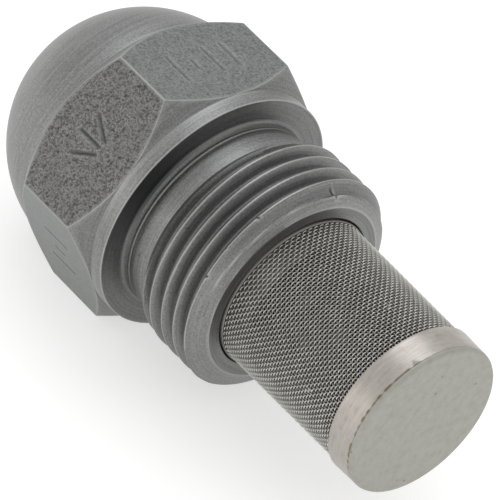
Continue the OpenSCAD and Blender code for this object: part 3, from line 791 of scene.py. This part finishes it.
# ----------------------------------
# Woven wire. Plain-woven stainless cloth, 122 wires to the inch: hoops run round the strainer
# and long wires run along it, each over one and under the next. It narrows a little to the cap.
mesh_low, mesh_high = (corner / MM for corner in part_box("strainer_mesh"))
wire_d, long_wires, hoops = 0.085, 150, 53
hoop_rise, long_rise = 0.6 * wire_d, 0.4 * wire_d
cloth_start, cloth_end, cloth_r = mesh_low.x, mesh_high.x, mesh_high.z
cloth_taper = 0.086 / 9.59
hoop_pitch = (cloth_end - cloth_start - wire_d) / (hoops - 1)
wire_sides, wire_steps = 4, 3


def middle_r(x):
    return cloth_r - wire_d / 2 - hoop_rise - cloth_taper * (x - cloth_start)


def wire_mesh(name, centre, tangent, closed):
    """Wires with round sections, each along its own row of centre points."""
    wires, steps, _ = centre.shape
    axis_out = centre * (0, 1, 1)
    axis_out /= np.linalg.norm(axis_out, axis=-1, keepdims=True)
    side = np.cross(tangent, axis_out)
    side /= np.linalg.norm(side, axis=-1, keepdims=True)
    out = np.cross(side, tangent)
    out /= np.linalg.norm(out, axis=-1, keepdims=True)
    turn = (np.arange(wire_sides) + 0.5) * 2 * math.pi / wire_sides
    points = (centre[:, :, None] + wire_d / 2 * (out[:, :, None] * np.cos(turn)[:, None]
                                                 + side[:, :, None] * np.sin(turn)[:, None]))
    number = np.arange(points[..., 0].size).reshape(wires, steps, wire_sides)
    ahead = np.roll(number, -1, axis=1)
    if not closed:
        number, ahead = number[:, :-1], ahead[:, :-1]
    beside = np.roll(number, -1, axis=2), np.roll(ahead, -1, axis=2)
    quads = [np.stack([number, ahead, beside[1], beside[0]], -1).reshape(-1, 4)]
    if not closed:
        full = np.arange(points[..., 0].size).reshape(wires, steps, wire_sides)
        quads += [full[:, 0], full[:, -1, ::-1]]
    return outward(piece_from(name, points, np.concatenate(quads), sharp_deg=180))


turn = np.arange(long_wires * wire_steps) * 2 * math.pi / (long_wires * wire_steps)
hoop = np.arange(hoops)[:, None]
hoop_x = cloth_start + wire_d / 2 + hoop * hoop_pitch + 0 * turn
wave = np.cos(long_wires / 2 * turn + math.pi * hoop)
hoop_r = middle_r(hoop_x) + hoop_rise * wave
hoop_centre = np.stack([hoop_x, hoop_r * np.cos(turn), hoop_r * np.sin(turn)], -1)
hoop_way = np.roll(hoop_centre, -1, axis=1) - np.roll(hoop_centre, 1, axis=1)
hoop_way /= np.linalg.norm(hoop_way, axis=-1, keepdims=True)
hoop_wires = wire_mesh("woven_hoop_wires", hoop_centre, hoop_way, True)

step = np.arange((hoops - 1) * wire_steps + 1)
long_x = cloth_start + wire_d / 2 + step * hoop_pitch / wire_steps
wire = np.arange(long_wires)[:, None]
wave = -np.cos(math.pi * step / wire_steps + math.pi * wire)
long_r = middle_r(long_x) + long_rise * wave
long_turn = wire * 2 * math.pi / long_wires + 0 * long_x
long_centre = np.stack([
    long_x + 0 * wire, long_r * np.cos(long_turn), long_r * np.sin(long_turn)], -1)
long_way = np.gradient(long_centre, axis=1)
long_way /= np.linalg.norm(long_way, axis=-1, keepdims=True)
long_wires_piece = wire_mesh("woven_long_wires", long_centre, long_way, False)


# Drawn stainless wire: the hoops ride high and are bright; the long wires lie deeper and get a
# darker copy of the wire, painted shade
hoop_wires.data.materials.append(bare_metal(
    "drawn_stainless_wire", lambda tree: patches(tree, 1.2), "#c2bfba", "#e2dfda", 0.35))
long_wires_piece.data.materials.append(bare_metal(
    "drawn_stainless_wire_painted_shade", lambda tree: patches(tree, 1.2), "#8d8a86", "#a9a6a1", 0.35))
for wires in (hoop_wires, long_wires_piece):
    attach(wires, "strainer")
    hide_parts("strainer_mesh")


# ----------------------------------
# Cap ring. A drawn steel ring, tinned, that grips the end of the cloth. It is satin bright, with
# fine scratches round it, and its end was sealed to the disc with a thin, uneven brown seam.
ring_low, ring_high = (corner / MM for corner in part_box("strainer_cap_ring"))
ring_from, ring_to = ring_low.x, ring_high.x
ring_bore_r, ring_open_r, ring_foot_r, ring_lip = 4.95, ring_high.z, 5.06, 0.04


def uneven_ring(count, cell, seed):
    """Smooth noise round a ring, between 0 and 1, with cells of about so many degrees."""
    knots = np.random.default_rng(seed).uniform(0, 1, int(360 / cell))
    place = np.arange(count) * len(knots) / count
    low = np.floor(place).astype(int)
    part = place - low
    part = part * part * (3 - 2 * part)
    return knots[low % len(knots)] * (1 - part) + knots[(low + 1) % len(knots)] * part


cap_columns = 480
cap_turn = np.arange(cap_columns) * 2 * math.pi / cap_columns
seam_share = np.exp(-(((np.degrees(cap_turn) - 160) / 48) ** 2))
seam_share *= np.clip(1.8 * uneven_ring(cap_columns, 3, 3) - 0.35, 0.1, 1)
seam_share *= 0.35 + 0.65 * uneven_ring(cap_columns, 14, 4)
seam_wide = 0.004 + 0.15 * seam_share
seam_deep = 0.02 + 0.05 * seam_share
seam_mark = np.clip(0.05 + 1.8 * seam_share, 0, 1)


def uneven_piece(name, lines, seams):
    """A turned piece whose places and radii may change round it, with its seam marked."""
    marks = np.concatenate([np.broadcast_to(seam, (cap_columns,)) for seam in seams])
    return turned_piece(name, [(-x, r) for x, r in lines], cap_columns, {"seam": marks}, 40)


wobble = 0.006 * (uneven_ring(cap_columns, 30, 5) - 0.5)
ring_lines = [(ring_from, ring_bore_r), (ring_from, ring_open_r - ring_lip - 0.02),
              (ring_from + 0.01, ring_open_r - 0.018), (ring_from + ring_lip, ring_open_r - 0.002),
              (ring_from + 0.35, ring_open_r - 0.012 + wobble),
              (ring_from + 0.9, 5.076 + wobble), (ring_from + 1.35, 5.062 + wobble),
              (ring_to - 0.10, ring_foot_r - 0.004),
              (ring_to - 0.045 - seam_wide, ring_foot_r - 0.006),
              (ring_to - seam_wide, ring_foot_r - 0.008),
              (ring_to - 0.5 * seam_wide, ring_foot_r - 0.006 - 0.6 * seam_deep),
              (ring_to, ring_foot_r - seam_deep), (ring_to, ring_bore_r)]
ring_seams = [0] * 9 + [0.5 * seam_mark] + [seam_mark] * 3
cap_ring = uneven_piece("cap_band", ring_lines, ring_seams)


def tinned_steel(name, dark, light, rough, seam_colour, scratches, blotches):
    """Tinned steel: warm pale grey and satin, with scratches round the axis, faint blotches and a
    few specks. The seam is stained brown."""
    made, tree, surface = new_finish(name)
    lines = lathe_lines(tree, 9, 4)
    place = add(tree, "ShaderNodeTexCoord", {}).outputs["Object"]
    blotch = add(tree, "ShaderNodeTexNoise", {
        "Vector": place, "Scale": 1.8 / MM, "Detail": 6.0, "Roughness": 0.7})
    both = add(tree, "ShaderNodeMix", {
        0: scratches, 2: blotch.outputs["Fac"], 3: lines.outputs["Fac"]})
    tone = add(tree, "ShaderNodeValToRGB", {"Fac": both.outputs[0]})
    for stop, at, shade in zip(tone.color_ramp.elements, (0.35, 0.65), (dark, light)):
        stop.position, stop.color = at, linear(shade)
    cloud = add(tree, "ShaderNodeMapRange", {
        "Value": blotch.outputs["Fac"], "From Min": 0.4, "From Max": 0.7, "To Max": blotches})
    dull = add(tree, "ShaderNodeMix", {0: cloud.outputs["Result"], 6: tone.outputs["Color"],
                                       7: linear("#a09f98")}, data_type="RGBA")
    cell = add(tree, "ShaderNodeTexVoronoi", {"Vector": place, "Scale": 0.8 / MM})
    speck = add(tree, "ShaderNodeMapRange", {
        "Value": cell.outputs["Distance"], "From Min": 0.085, "From Max": 0.05, "To Max": 0.6})
    specked = add(tree, "ShaderNodeMix", {
        0: speck.outputs["Result"], 6: dull.outputs[2], 7: linear("#5f625c")}, data_type="RGBA")
    seam = add(tree, "ShaderNodeAttribute", {}, attribute_name="seam")
    colour = add(tree, "ShaderNodeMix", {
        0: seam.outputs["Fac"], 6: specked.outputs[2], 7: linear(seam_colour)}, data_type="RGBA")
    bump = add(tree, "ShaderNodeBump", {
        "Height": both.outputs[0], "Strength": 0.35, "Distance": 0.02 * MM})
    feed(tree, surface, {"Base Color": colour.outputs[2], "Normal": bump.outputs["Normal"],
                         "Metallic": 1.0, "Roughness": rough})
    return made


cap_ring.data.materials.append(
    tinned_steel("tinned_steel_satin", "#a09a95", "#c2bab4", 0.37, "#7d7257", 0.5, 0.4))
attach(cap_ring, "strainer")
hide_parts("strainer_cap_ring")


# ----------------------------------
# End disc. A pressed disc, tinned and matt, that closes the ring. Its rim is rounded, and its
# face has a few faint dents and specks.
disc_low, disc_high = (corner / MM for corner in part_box("strainer_end_disc"))
plug_x, end_x = disc_low.x, disc_high.x
rim_x = ring_to + 0.01
rim_round_r = 0.25
end_lines = [(plug_x, 0), (plug_x, 4.89), (plug_x + 0.05, 4.94), (rim_x, 4.94),
             (rim_x, ring_foot_r - seam_deep),
             (rim_x + 0.5 * seam_wide, ring_foot_r - 0.006 - 0.6 * seam_deep),
             (rim_x + seam_wide, ring_foot_r - 0.008)]
end_seams = [0, 0, 0, seam_mark, seam_mark, seam_mark, 0.4 * seam_mark]
for lift in np.radians([0, 18, 36, 54, 72, 90]):
    end_lines.append((end_x - rim_round_r + rim_round_r * math.sin(lift),
                      ring_foot_r - rim_round_r + rim_round_r * math.cos(lift) - 0.004))
    end_seams.append(0)
for r in (4.7, 4.55, 4.2, 3.6, 2.9, 2.1, 1.2, 0.4, 0):
    sag = 0.012 * uneven_ring(cap_columns, 25, int(r * 10)) * (r > 0.5) * (r < 4.6)
    end_lines.append((end_x - sag, r))
    end_seams.append(0)
end_disc = uneven_piece("cap_disc", end_lines, end_seams)
end_disc.data.materials.append(
    tinned_steel("tinned_steel_matt", "#a6a59d", "#b6b5ae", 0.6, "#7d7257", 0.05, 0.3))
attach(end_disc, "strainer")
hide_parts("strainer_end_disc")


# ----------------------------------
# Floor and light. A plain white sheet under the lower flat, a large soft light overhead and a
# smaller one at the front left, and an even pale surround.
floor_half = 1.5
floor_mesh = bpy.data.meshes.new("floor")
floor_mesh.from_pydata([(x, y, cad_low.z) for x, y in (
    (-floor_half, -floor_half), (floor_half, -floor_half), (floor_half, floor_half),
    (-floor_half, floor_half))], [], [(0, 1, 2, 3)])
floor = bpy.data.objects.new("floor", floor_mesh)
bpy.context.scene.collection.objects.link(floor)
paper, paper_tree, paper_surface = new_finish("white_paper")
feed(paper_tree, paper_surface, {
    "Base Color": linear("#c6c6c5"), "Roughness": 0.9,
    "Emission Color": linear("#ffffff"), "Emission Strength": 0.56})
floor.data.materials.append(paper)


def soft_light(name, place, aim, size, watts, colour):
    """A square area light in metres that looks at a point."""
    data = bpy.data.lights.new(name, "AREA")
    data.size, data.energy = size, watts
    data.color = linear(colour)[:3]
    made = bpy.data.objects.new(name, data)
    made.location = place
    made.rotation_euler = (Vector(aim) - Vector(place)).to_track_quat("-Z", "Y").to_euler()
    bpy.context.scene.collection.objects.link(made)


soft_light("overhead_light", (-0.31, 0.08, 0.51), (0, 0, 0), 0.35, 0.52, "#f8f9ff")
soft_light("front_left_light", (-0.31, -0.51, 0.03), (0, 0, 0), 0.2, 0.16, "#fff8f2")
world = bpy.data.worlds.new("surround")
bpy.context.scene.world = world
world.use_nodes = True
feed(world.node_tree, world.node_tree.nodes["Background"],
     {"Color": linear("#f4f5f4"), "Strength": 0.95})
bpy.context.scene.view_settings.view_transform = "Standard"
